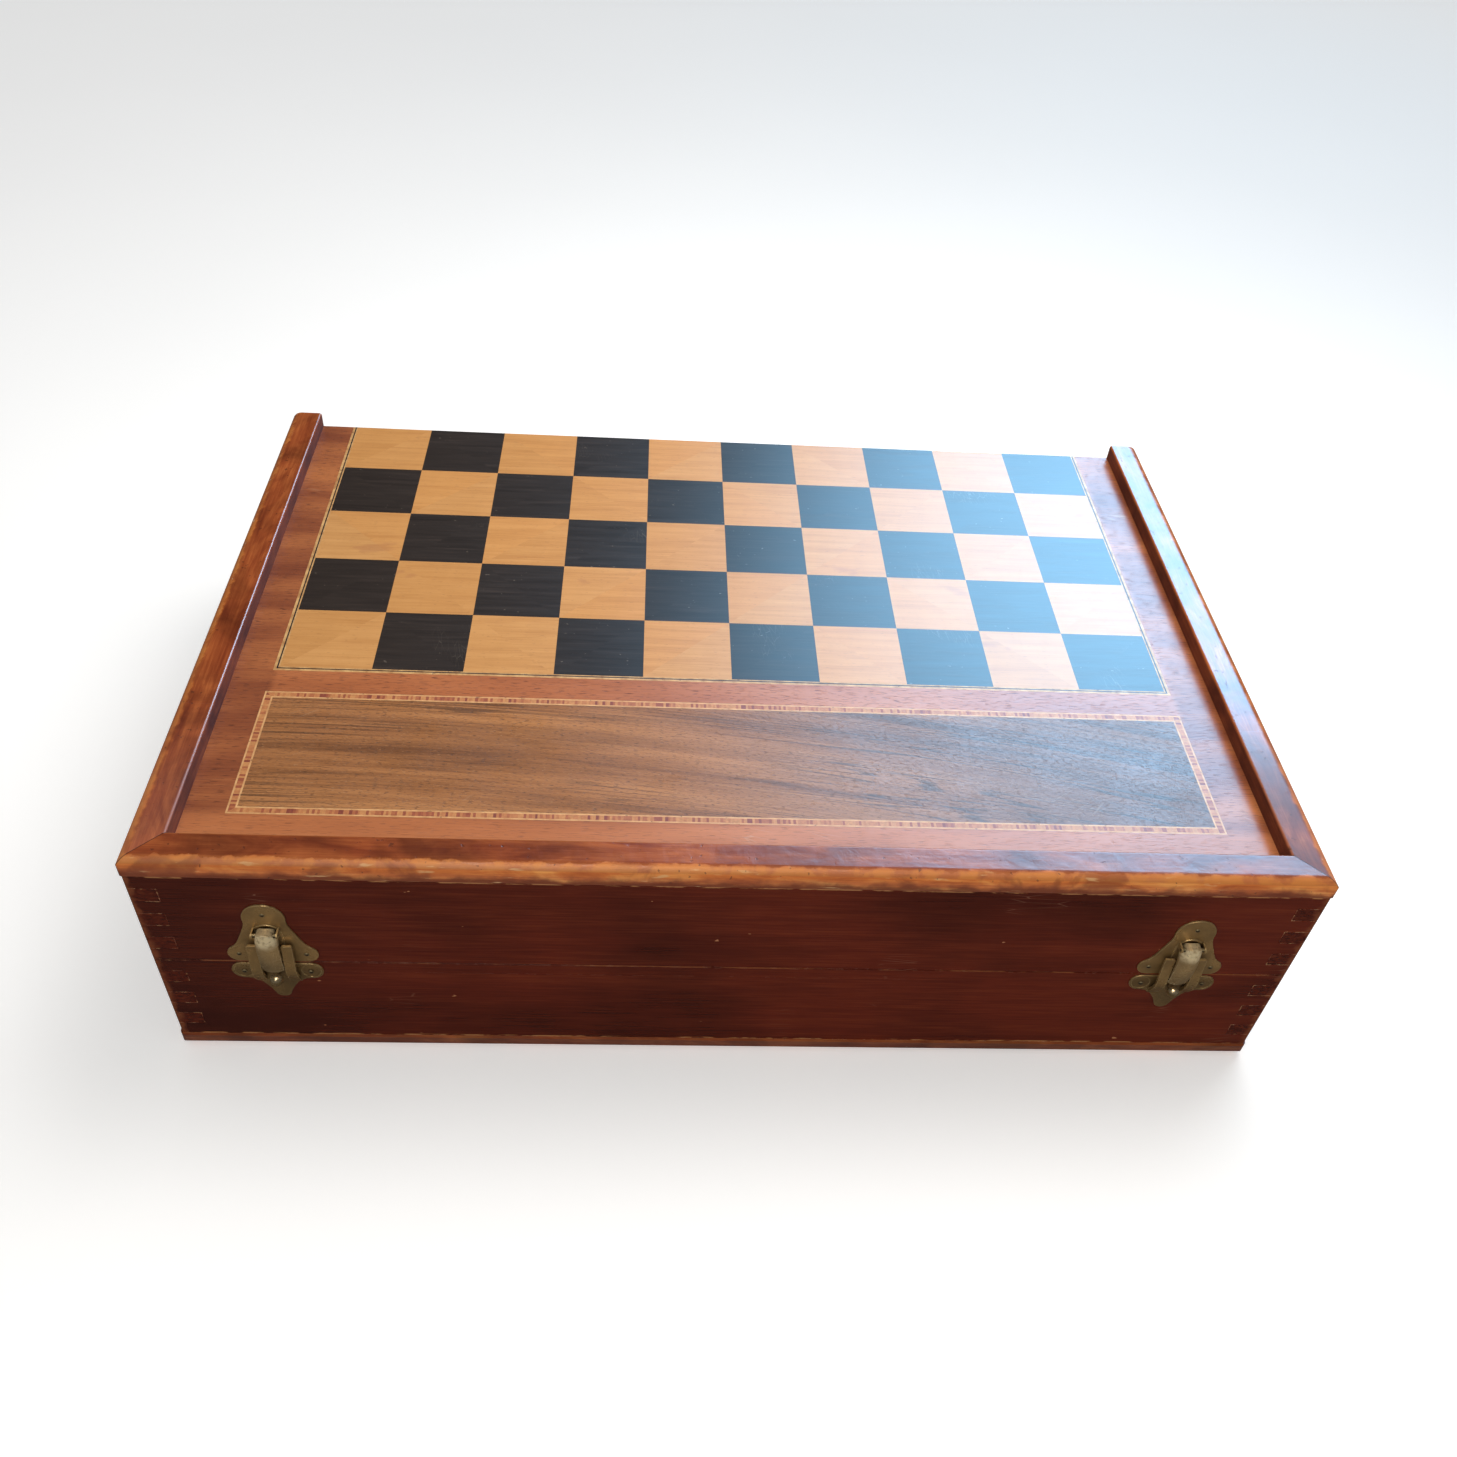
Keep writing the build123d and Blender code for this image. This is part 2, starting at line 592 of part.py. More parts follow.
def build_half(half):
    """Walls, board, rails, inlay and tray of one half."""
    frame = wall_frame() - hinge_notches()
    for place in screw_places():
        frame -= place * hinge_screw()
    front_wall = in_place(long_wall(frame, -1), half)
    latch_holes = nails(UPPER_NAILS if half == "upper" else LOWER_NAILS)
    if half == "lower":
        latch_holes += [on_latch(ball_stud(), x) for x in (-LATCH_X, LATCH_X)]
    for hole in latch_holes:
        front_wall -= hole
    save(front_wall, f"{half}_front_wall")
    save(in_place(long_wall(frame, 1), half), f"{half}_back_wall")
    save(in_place(side_wall(frame, -1), half), f"{half}_left_wall")
    save(in_place(side_wall(frame, 1), half), f"{half}_right_wall")
    save(in_place(board(), half), f"{half}_board")
    for rail, name in zip(rails(), ("front", "left", "right")):
        save(in_place(rail, half), f"{half}_{name}_rail")

    # the colours change over at the hinge edge, so that the open board reads as one
    light = 0 if half == "upper" else 1
    outer_line = INNER_STRING + DARK_STRING
    inner_lines = frame_area(BANDING_LINE + BANDING_BLOCKS) - frame_area(2 * BANDING_LINE + BANDING_BLOCKS)
    inlay = {
        "light_squares": squares(light),
        "dark_squares": squares(1 - light),
        "light_stringing": [open_border(0, INNER_STRING), open_border(outer_line, OUTER_STRING)],
        "dark_stringing": [open_border(INNER_STRING, DARK_STRING)],
        "crossband": crossband(),
        "banding_lines": [frame_area(0) - frame_area(BANDING_LINE), inner_lines],
        "banding_blocks": [frame_area(BANDING_LINE) - frame_area(BANDING_LINE + BANDING_BLOCKS)],
        "walnut_panel": [frame_area(2 * BANDING_LINE + BANDING_BLOCKS)],
        "tray_floor": [tray_floor()],
        "light_points": points(light),
        "dark_points": points(1 - light),
    }
    for name, pieces in inlay.items():
        save([in_place(piece, half) for piece in pieces], f"{half}_{name}")


def build_hinges():
    """Two butt hinges let into the seam at the back."""
    for name, x in (("left", -HINGE_X), ("right", HINGE_X)):
        for half in ("lower", "upper"):
            leaf = Pos(x, 0, 0) * hinge_leaf(half)
            for place in screw_places():
                leaf -= place * hinge_screw()
            save(in_place(leaf, half), f"{name}_hinge_{half}_leaf")
        pin = Pos(x, HINGE_Y, SEAM_Z) * Rot(0, 90, 0) * Cylinder(HINGE_PIN_RADIUS, HINGE_LENGTH)
        save(pin, f"{name}_hinge_pin")
    for half in ("lower", "upper"):
        screws = [in_place(place * slotted(hinge_screw()), half) for place in screw_places()]
        save(screws, f"{half}_hinge_screws")


def build_latches():
    """Two brass latches on the front wall, across the seam."""
    for name, x in (("left", -LATCH_X), ("right", LATCH_X)):
        save(on_latch(upper_plate(), x), f"{name}_latch_upper_plate")
        save(on_latch(lower_plate(), x), f"{name}_latch_lower_plate")
        save(on_latch(tongue(), x), f"{name}_latch_tongue")
        save(on_latch(tongue_pin(), x), f"{name}_latch_pin")
        save(on_latch(ball_stud(), x), f"{name}_latch_stud")
    save(nails(UPPER_NAILS), "upper_latch_nails")
    save(nails(LOWER_NAILS), "lower_latch_nails")


os.makedirs("parts", exist_ok=True)
for half_name in ("lower", "upper"):
    build_half(half_name)
build_hinges()
build_latches()
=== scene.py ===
"""Folding games box: camera, soft studio light and the procedural finish of every part.

The wooden parts keep their CAD shapes. Each material is built from nodes in object coordinates (metres),
so grain, pores and wear sit at their real size and ride with their part when the box opens.
"""

import math

import bpy
from mathutils import Matrix, Vector


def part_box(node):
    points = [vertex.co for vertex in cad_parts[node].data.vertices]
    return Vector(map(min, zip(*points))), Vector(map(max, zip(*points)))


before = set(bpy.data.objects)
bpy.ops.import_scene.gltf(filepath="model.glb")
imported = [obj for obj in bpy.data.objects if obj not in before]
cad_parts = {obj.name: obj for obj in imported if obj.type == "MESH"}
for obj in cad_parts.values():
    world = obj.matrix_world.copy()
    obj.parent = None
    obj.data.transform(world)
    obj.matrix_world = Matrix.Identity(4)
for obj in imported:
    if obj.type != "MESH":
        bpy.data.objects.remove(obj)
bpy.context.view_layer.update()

# Camera: where it stands, how it is turned and how wide it sees.
CAMERA_PLACE = (-0.0395, -0.4588, 0.4816)
CAMERA_PITCH = 43.63        # degrees down from the horizon
CAMERA_YAW = 5.26           # degrees from straight ahead towards +X
CAMERA_ROLL = 5.14          # degrees, the picture's right side tipped up
CAMERA_LENS = 32.47         # mm, on a 36 mm sensor

LIT_POINT = (0, 0, 0.1)     # near the middle of the box's top: every light faces it
FLOOR_WIDTH = 24            # metres, so that its edge stays far off

MM = 0.001

# Places on the box that the finishes need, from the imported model.
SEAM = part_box("upper_front_wall")[0][2]
WALL_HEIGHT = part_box("upper_front_wall")[1][2] - SEAM
HALF_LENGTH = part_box("upper_right_rail")[1][0]
HALF_DEPTH = -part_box("upper_front_rail")[0][1]


def centre(node):
    """Middle of a CAD node's box."""
    low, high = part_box(node)
    return [(low[i] + high[i]) / 2 for i in range(3)]


def size(node):
    """Size of a CAD node's box along each axis."""
    low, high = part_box(node)
    return [high[i] - low[i] for i in range(3)]


class Finish:
    """One material being built. Each method adds nodes and returns the socket with their result."""

    def __init__(self, name):
        self.material = bpy.data.materials.new(name)
        self.material.use_nodes = True
        self.tree = self.material.node_tree
        self.tree.nodes.clear()

    def add(self, kind, inputs=None, **settings):
        """A node with its settings, and its inputs either linked from a socket or given as a value."""
        node = self.tree.nodes.new(kind)
        for name, value in settings.items():
            setattr(node, name, value)
        for name, value in (inputs or {}).items():
            socket = node.inputs[name]
            if isinstance(value, bpy.types.NodeSocket):
                self.tree.links.new(value, socket)
            elif isinstance(value, tuple) and socket.type == "RGBA":
                socket.default_value = (*value[:3], 1.0)
            else:
                socket.default_value = value
        return node

    def place(self):
        """Object coordinates, in metres."""
        return self.add("ShaderNodeTexCoord").outputs["Object"]

    def facing(self):
        """Surface direction in the part's own axes."""
        return self.add("ShaderNodeTexCoord").outputs["Normal"]

    def island(self):
        """A random number for each separate piece of veneer in the part."""
        return self.add("ShaderNodeNewGeometry").outputs["Random Per Island"]

    def parts(self, vector):
        """The x, y and z of a vector."""
        node = self.add("ShaderNodeSeparateXYZ", {"Vector": vector})
        return node.outputs["X"], node.outputs["Y"], node.outputs["Z"]

    def joined(self, x, y, z):
        """A vector from its x, y and z."""
        return self.add("ShaderNodeCombineXYZ", {"X": x, "Y": y, "Z": z}).outputs["Vector"]

    def scaled(self, vector, x, y, z, turn=0.0, shift=(0.0, 0.0, 0.0)):
        """The vector turned about z by some degrees, then scaled along each axis."""
        turned = self.add("ShaderNodeMapping", {"Vector": vector, "Rotation": (0, 0, math.radians(turn))})
        mapping = {"Vector": turned.outputs["Vector"], "Scale": (x, y, z), "Location": shift}
        return self.add("ShaderNodeMapping", mapping).outputs["Vector"]

    def moved(self, vector, offset):
        """The vector moved by an offset vector."""
        node = self.add("ShaderNodeVectorMath", operation="ADD")
        self.tree.links.new(vector, node.inputs[0])
        self.tree.links.new(offset, node.inputs[1])
        return node.outputs["Vector"]

    def noise(self, vector, detail=3.0, roughness=0.55, distortion=0.0):
        """Soft noise about 0.5, in the vector's own scale."""
        inputs = {"Vector": vector, "Scale": 1.0, "Detail": detail, "Roughness": roughness}
        inputs["Distortion"] = distortion
        return self.add("ShaderNodeTexNoise", inputs).outputs["Fac"]

    def speckle(self, vector, fineness, detail, distortion=0.0):
        """Noise that is as fine in every direction, with some features per metre."""
        even = self.scaled(vector, fineness, fineness, fineness)
        return self.noise(even, detail=detail, distortion=distortion)

    def cracks(self, vector):
        """Distance to the edges of random cells: thin lines where it is near zero."""
        inputs = {"Vector": vector, "Scale": 1.0}
        return self.add("ShaderNodeTexVoronoi", inputs, feature="DISTANCE_TO_EDGE").outputs["Distance"]

    def math(self, operation, a, b=0.0):
        """One arithmetic step on two values."""
        node = self.add("ShaderNodeMath", operation=operation)
        for socket, value in zip(node.inputs, (a, b)):
            if isinstance(value, bpy.types.NodeSocket):
                self.tree.links.new(value, socket)
            else:
                socket.default_value = value
        return node.outputs["Value"]

    def plus(self, a, b):
        """The sum of two values."""
        return self.math("ADD", a, b)

    def minus(self, a, b):
        """The first value less the second."""
        return self.math("SUBTRACT", a, b)

    def times(self, first, *others):
        """The product of some values."""
        result = first
        for value in others:
            result = self.math("MULTIPLY", result, value)
        return result

    def step(self, value, low, high, to_low=0.0, to_high=1.0):
        """Smooth step of a value between two levels."""
        inputs = {"Value": value, "From Min": low, "From Max": high, "To Min": to_low, "To Max": to_high}
        node = self.add("ShaderNodeMapRange", inputs, interpolation_type="SMOOTHSTEP")
        return node.outputs["Result"]

    def band(self, value, middle, half, soft):
        """One inside a band about a level, fading to zero outside it."""
        away = self.math("ABSOLUTE", self.minus(value, middle))
        return self.step(away, half, half + soft, 1.0, 0.0)

    def mix(self, amount, a, b, blend="MIX"):
        """Colour a going to colour b."""
        node = self.add("ShaderNodeMix", data_type="RGBA", blend_type=blend)
        colours = [socket for socket in node.inputs if socket.type == "RGBA"]
        factor = next(socket for socket in node.inputs if socket.type == "VALUE")
        for socket, value in zip([factor, *colours], (amount, a, b)):
            if isinstance(value, bpy.types.NodeSocket):
                self.tree.links.new(value, socket)
            elif isinstance(value, tuple):
                socket.default_value = (*value, 1.0)
            else:
                socket.default_value = value
        return next(socket for socket in node.outputs if socket.type == "RGBA")

    def stain(self, colour, other, *amounts):
        """The colour with another one laid over it, by the product of some amounts."""
        return self.mix(self.times(*amounts), colour, other)

    def shaded(self, colour, value, amount, *stops):
        """The colour darkened by a ramp of tints along a value."""
        return self.mix(amount, colour, self.ramp(value, *stops), "MULTIPLY")

    def ramp(self, value, *stops, hard=False):
        """Colours along a value, from (position, colour) stops."""
        node = self.add("ShaderNodeValToRGB", {"Fac": value})
        ramp = node.color_ramp
        ramp.interpolation = "CONSTANT" if hard else "LINEAR"
        while len(ramp.elements) < len(stops):
            ramp.elements.new(1.0)
        for element, (position, colour) in zip(ramp.elements, stops):
            element.position = position
            element.color = (*colour, 1.0)
        return node.outputs["Color"]

    def bump(self, height, strength, depth, normal=None):
        """Surface relief of a depth in metres."""
        inputs = {"Height": height, "Strength": strength, "Distance": depth}
        if normal is not None:
            inputs["Normal"] = normal
        return self.add("ShaderNodeBump", inputs).outputs["Normal"]

    def soft_edges(self, radius):
        """Normal with every edge eased by a radius."""
        return self.add("ShaderNodeBevel", {"Radius": radius}, samples=4).outputs["Normal"]

    def edge(self, radius):
        """Near one along the part's edges and zero on its flat faces."""
        eased = self.soft_edges(radius)
        true = self.add("ShaderNodeNewGeometry").outputs["Normal"]
        node = self.add("ShaderNodeVectorMath", operation="DOT_PRODUCT")
        self.tree.links.new(eased, node.inputs[0])
        self.tree.links.new(true, node.inputs[1])
        return self.step(node.outputs["Value"], 0.80, 0.995, 1.0, 0.0)

    def hollows(self, reach):
        """One in open places, falling to zero in corners and gaps within reach."""
        return self.add("ShaderNodeAmbientOcclusion", {"Distance": reach}, samples=4).outputs["AO"]

    def surface(self, colour, roughness, normal, **inputs):
        """Closes the material with one principled surface and returns the material."""
        names = {"Base Color": colour, "Roughness": roughness, "Normal": normal}
        names.update({name.replace("_", " ").title(): value for name, value in inputs.items()})
        shader = self.add("ShaderNodeBsdfPrincipled", names)
        out = self.add("ShaderNodeOutputMaterial")
        self.tree.links.new(shader.outputs["BSDF"], out.inputs["Surface"])
        return self.material


def along(finish, vector, axis, lengthwise, across):
    """Coordinates for grain along one axis: few features lengthwise, many across (per metre)."""
    scale = [across, across, across]
    scale["XYZ".index(axis)] = lengthwise
    return finish.scaled(vector, *scale)


def fibres(finish, vector, axis):
    """Fine parallel fibres."""
    return finish.noise(along(finish, vector, axis, 45, 1500), detail=2.0, roughness=0.6)


def pores(finish, vector, axis, amount, length=260):
    """Short open pores along the grain: one in a pore, zero elsewhere. More amount gives more pores."""
    field = finish.noise(along(finish, vector, axis, length, 2600), detail=1.0, roughness=0.5)
    return finish.step(field, 0.70 - amount, 0.76 - amount)


def scratches(finish, vector, turn, lengthwise, across, amount):
    """A few thin, nearly straight scratches in one direction."""
    lines = finish.cracks(finish.scaled(vector, lengthwise, across, across, turn))
    thin = finish.step(lines, 0.004, 0.022, 1.0, 0.0)
    where = finish.speckle(vector, 26, 2.0)
    return finish.times(thin, finish.step(where, 0.66 - amount, 0.74 - amount))


def waxed_wood(name, axis, dark, light, pore, pore_amount, gloss=0.26, scuffs=0.04):
    """A polished veneer: broad streaks, fine fibres, dark pores, clouding and a few scratches."""
    finish = Finish(name)
    place = finish.place()
    streaks = finish.noise(along(finish, place, axis, 9, 170), detail=4.0, distortion=0.3)
    fine = fibres(finish, place, axis)
    tone = finish.plus(finish.times(streaks, 0.7), finish.times(fine, 0.3))
    colour = finish.ramp(tone, (0.36, dark), (0.62, light))
    open_pores = pores(finish, place, axis, pore_amount)
    colour = finish.stain(colour, pore, open_pores, 0.75)
    cloud = finish.noise(finish.scaled(place, 17, 23, 17), detail=3.0)
    colour = finish.shaded(colour, cloud, 0.5, (0.3, (0.5, 0.47, 0.45)), (0.7, (1.0, 1.0, 1.0)))
    marks = scratches(finish, place, 24, 22, 260, scuffs)
    colour = finish.stain(colour, tuple(0.5 + c / 2 for c in light), marks, 0.4)
    height = finish.minus(finish.times(fine, 0.35), open_pores)
    normal = finish.bump(height, 0.35, 0.00006)
    roughness = finish.plus(gloss, finish.times(fine, 0.12))
    return finish.surface(colour, roughness, normal)


def maple_squares():
    """Light squares: honey maple, each with its own tone, faint grain lines and a little flame."""
    finish = Finish("maple_squares")
    chance = finish.island()
    # Each square is cut from its own place in the wood.
    spread = finish.joined(finish.times(chance, 3.1), finish.times(chance, 7.7), 0.0)
    place = finish.moved(finish.place(), spread)
    streaks = finish.noise(along(finish, place, "X", 16, 330), detail=4.0, distortion=0.4)
    fine = fibres(finish, place, "X")
    tone = finish.plus(finish.times(streaks, 0.6), finish.times(fine, 0.4))
    colour = finish.ramp(
        tone,
        (0.32, (0.58, 0.265, 0.078)),
        (0.5, (0.67, 0.325, 0.102)),
        (0.68, (0.73, 0.37, 0.125)),
    )
    flame = finish.noise(finish.scaled(place, 95, 30, 30, 12), detail=2.0, distortion=0.6)
    colour = finish.shaded(colour, flame, 0.14, (0.35, (0.8, 0.76, 0.72)), (0.62, (1.0, 1.0, 1.0)))
    colour = finish.shaded(
        colour,
        chance,
        1.0,
        (0.0, (0.93, 0.92, 0.90)),
        (0.35, (1.0, 0.97, 0.92)),
        (0.7, (0.97, 1.0, 1.06)),
        (1.0, (1.0, 0.99, 1.0)),
    )
    flecks = pores(finish, place, "X", 0.03, 330)
    colour = finish.stain(colour, (0.3, 0.12, 0.045), flecks, 0.45)
    stains = finish.step(finish.noise(finish.scaled(finish.place(), 33, 60, 33), detail=3.0), 0.66, 0.74)
    colour = finish.stain(colour, (0.42, 0.16, 0.07), stains, 0.35)
    normal = finish.bump(finish.minus(fine, flecks), 0.25, 0.00005)
    roughness = finish.plus(0.27, finish.times(fine, 0.1))
    return finish.surface(colour, roughness, normal)


def ebonised_squares():
    """Dark squares: wood stained nearly black, with open grain, worn streaks and pale specks."""
    finish = Finish("ebonised_squares")
    chance = finish.island()
    # Each square is cut from its own place in the wood.
    spread = finish.joined(finish.times(chance, 5.3), finish.times(chance, 2.9), 0.0)
    place = finish.moved(finish.place(), spread)
    streaks = finish.noise(along(finish, place, "X", 24, 420), detail=4.0, distortion=0.5)
    fine = fibres(finish, place, "X")
    tone = finish.plus(finish.times(streaks, 0.6), finish.times(fine, 0.4))
    colour = finish.ramp(
        tone,
        (0.36, (0.026, 0.018, 0.014)),
        (0.56, (0.038, 0.026, 0.02)),
        (0.72, (0.062, 0.042, 0.032)),
    )
    dents = scratches(finish, place, 78, 90, 520, 0.06)
    specks = finish.step(finish.noise(finish.scaled(place, 420, 900, 420), detail=1.0), 0.765, 0.80)
    worn = finish.math("MAXIMUM", finish.times(dents, 0.5), specks)
    colour = finish.stain(colour, (0.3, 0.25, 0.2), worn, 0.6)
    height = finish.plus(finish.times(streaks, 0.9), finish.times(fine, 0.6))
    normal = finish.bump(height, 0.45, 0.00008)
    roughness = finish.plus(0.25, finish.times(streaks, 0.1))
    return finish.surface(colour, roughness, normal)


def line_wood(name, dark, light):
    """A narrow inlaid line: short-grained, slightly uneven in tone and chipped along its length."""
    finish = Finish(name)
    place = finish.place()
    uneven = finish.speckle(place, 240, 3.0)
    colour = finish.ramp(uneven, (0.32, dark), (0.66, light))
    chips = finish.step(finish.speckle(place, 420, 2.0), 0.66, 0.70)
    colour = finish.stain(colour, (0.1, 0.035, 0.018), chips, 0.5)
    normal = finish.bump(finish.minus(uneven, chips), 0.4, 0.00008)
    return finish.surface(colour, 0.38, normal)


def banding():
    """Cross-grain blocks of red and tan wood, random in length, run round the panel and mitred."""
    finish = Finish("banding")
    x, y, z = finish.parts(finish.place())
    middle = centre("upper_banding_blocks")
    extent = size("upper_banding_blocks")
    # The blocks follow y along the panel's ends and x along its sides, and meet at mitres.
    from_end = finish.minus(extent[0] / 2, finish.math("ABSOLUTE", finish.minus(x, middle[0])))
    from_side = finish.minus(extent[1] / 2, finish.math("ABSOLUTE", finish.minus(y, middle[1])))
    on_side = finish.math("LESS_THAN", from_side, from_end)
    run = finish.add("ShaderNodeMix", {"Factor": on_side}, data_type="FLOAT")
    numbers = [socket for socket in run.inputs if socket.type == "VALUE"]
    finish.tree.links.new(y, numbers[1])
    finish.tree.links.new(x, numbers[2])
    length = run.outputs["Result"]
    # Blocks about a millimetre long, with more red ones in some stretches than in others.
    cells = finish.add("ShaderNodeTexVoronoi", {"W": length, "Scale": 950.0}, voronoi_dimensions="1D")
    value = finish.parts(cells.outputs["Color"])[0]
    inputs = {"W": length, "Scale": 62.0, "Detail": 1.0}
    clusters = finish.add("ShaderNodeTexNoise", inputs, noise_dimensions="1D")
    value = finish.plus(value, finish.times(finish.minus(clusters.outputs["Fac"], 0.5), 1.1))
    colour = finish.ramp(
        value,
        (0.0, (0.66, 0.290, 0.100)),
        (0.30, (0.60, 0.230, 0.080)),
        (0.58, (0.50, 0.160, 0.058)),
        (0.76, (0.40, 0.105, 0.044)),
        (0.95, (0.30, 0.070, 0.036)),
        hard=True,
    )
    uneven = finish.speckle(finish.place(), 900, 2.0)
    colour = finish.shaded(colour, uneven, 0.5, (0.3, (0.55, 0.5, 0.5)), (0.7, (1.0, 1.0, 1.0)))
    normal = finish.bump(uneven, 0.3, 0.00006)
    return finish.surface(colour, 0.40, normal)


def walnut():
    """Walnut panel: grain that sweeps down to the right, dark veins and open pores."""
    finish = Finish("walnut")
    x, y, z = finish.parts(finish.place())
    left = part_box("upper_walnut_panel")[0][0]
    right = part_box("upper_walnut_panel")[1][0]
    # The grain is straight at the left end and bends more and more towards the right.
    sweep = finish.math("POWER", finish.math("MAXIMUM", finish.minus(x, left), 0.0), 2.0)
    place = finish.joined(x, finish.plus(y, finish.times(sweep, 0.34)), z)
    streaks = finish.noise(along(finish, place, "X", 4, 110), detail=5.0, roughness=0.65, distortion=0.3)
    fine = fibres(finish, place, "X")
    tone = finish.plus(finish.times(streaks, 0.8), finish.times(fine, 0.2))
    colour = finish.ramp(
        tone,
        (0.34, (0.2, 0.078, 0.028)),
        (0.48, (0.385, 0.158, 0.054)),
        (0.62, (0.52, 0.23, 0.082)),
    )
    # Painted shade: the panel darkens towards its right end.
    shade = finish.step(x, left / 3, right, 0.0, 0.95)
    colour = finish.mix(shade, colour, (0.46, 0.40, 0.38), "MULTIPLY")
    # Thin dark veins follow level lines of a stretched noise, in some places only.
    veins = finish.noise(along(finish, place, "X", 2.2, 120), detail=2.0, distortion=0.4)
    where = finish.step(finish.noise(finish.scaled(place, 6, 22, 6), detail=2.0), 0.40, 0.56)
    for level in (0.42, 0.48, 0.54, 0.60):
        vein = finish.times(finish.band(veins, level, 0.003, 0.01), where)
        colour = finish.stain(colour, (0.06, 0.027, 0.015), vein, 0.62)
    broad = finish.step(finish.noise(along(finish, place, "X", 3, 42), detail=2.0), 0.56, 0.68)
    colour = finish.stain(colour, (0.1, 0.045, 0.022), broad, 0.24)
    open_pores = pores(finish, place, "X", 0.12, 400)
    colour = finish.stain(colour, (0.06, 0.027, 0.015), open_pores, 0.5)
    pale = pores(finish, finish.scaled(place, 1, 1, 1, 0.0, (0.37, 0.21, 0.0)), "X", 0.04, 480)
    colour = finish.stain(colour, (0.6, 0.36, 0.18), pale, 0.35)
    marks = scratches(finish, finish.place(), -32, 14, 200, 0.03)
    colour = finish.stain(colour, (0.52, 0.36, 0.24), marks, 0.18)
    height = finish.minus(finish.times(fine, 0.3), open_pores)
    normal = finish.bump(height, 0.45, 0.00008)
    hazy = finish.noise(finish.scaled(finish.place(), 42, 55, 42), detail=4.0)
    roughness = finish.plus(0.2, finish.times(hazy, 0.24))
    return finish.surface(colour, roughness, normal)


def crossbanding():
    """Mahogany round the squares and the panel: shimmering stripes and small dark flecks."""
    finish = Finish("crossbanding")
    place = finish.place()
    x, y, z = finish.parts(place)
    stripes = finish.noise(finish.scaled(place, 9, 52, 9), detail=3.0, roughness=0.45, distortion=0.2)
    fine = fibres(finish, place, "X")
    tone = finish.plus(finish.times(stripes, 0.75), finish.times(fine, 0.25))
    side = finish.ramp(
        tone,
        (0.34, (0.2, 0.05, 0.022)),
        (0.5, (0.33, 0.098, 0.036)),
        (0.64, (0.5, 0.17, 0.056)),
    )
    flecks = pores(finish, place, "X", 0.10, 210)
    # The strip in front of the panel is smooth and pale, and the strip behind it is ruddy.
    front_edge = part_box("upper_walnut_panel")[0][1]
    smooth = finish.step(y, front_edge - 6 * MM, front_edge, 1.0, 0.0)
    strip = finish.ramp(
        tone,
        (0.3, (0.38, 0.125, 0.048)),
        (0.5, (0.52, 0.175, 0.062)),
        (0.7, (0.64, 0.235, 0.088)),
    )
    back_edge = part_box("upper_walnut_panel")[1][1]
    half_field = size("upper_light_squares")[0] / 2
    beside = finish.step(finish.math("ABSOLUTE", x), half_field, half_field + 4 * MM, 1.0, 0.0)
    middle = finish.times(beside, finish.step(y, back_edge - 2 * MM, back_edge))
    ruddy = finish.ramp(
        tone,
        (0.3, (0.33, 0.095, 0.034)),
        (0.5, (0.47, 0.15, 0.052)),
        (0.7, (0.58, 0.21, 0.078)),
    )
    colour = finish.mix(middle, finish.mix(smooth, side, strip), ruddy)
    fleck_depth = finish.step(smooth, 0.0, 1.0, 0.65, 0.35)
    colour = finish.stain(colour, (0.085, 0.022, 0.012), flecks, fleck_depth)
    marks = scratches(finish, place, 17, 24, 240, 0.05)
    colour = finish.stain(colour, (0.62, 0.42, 0.28), marks, 0.45)
    height = finish.minus(finish.times(fine, 0.3), flecks)
    normal = finish.bump(height, 0.40, 0.00007)
    roughness = finish.plus(0.25, finish.times(fine, 0.12))
    return finish.surface(colour, roughness, normal)


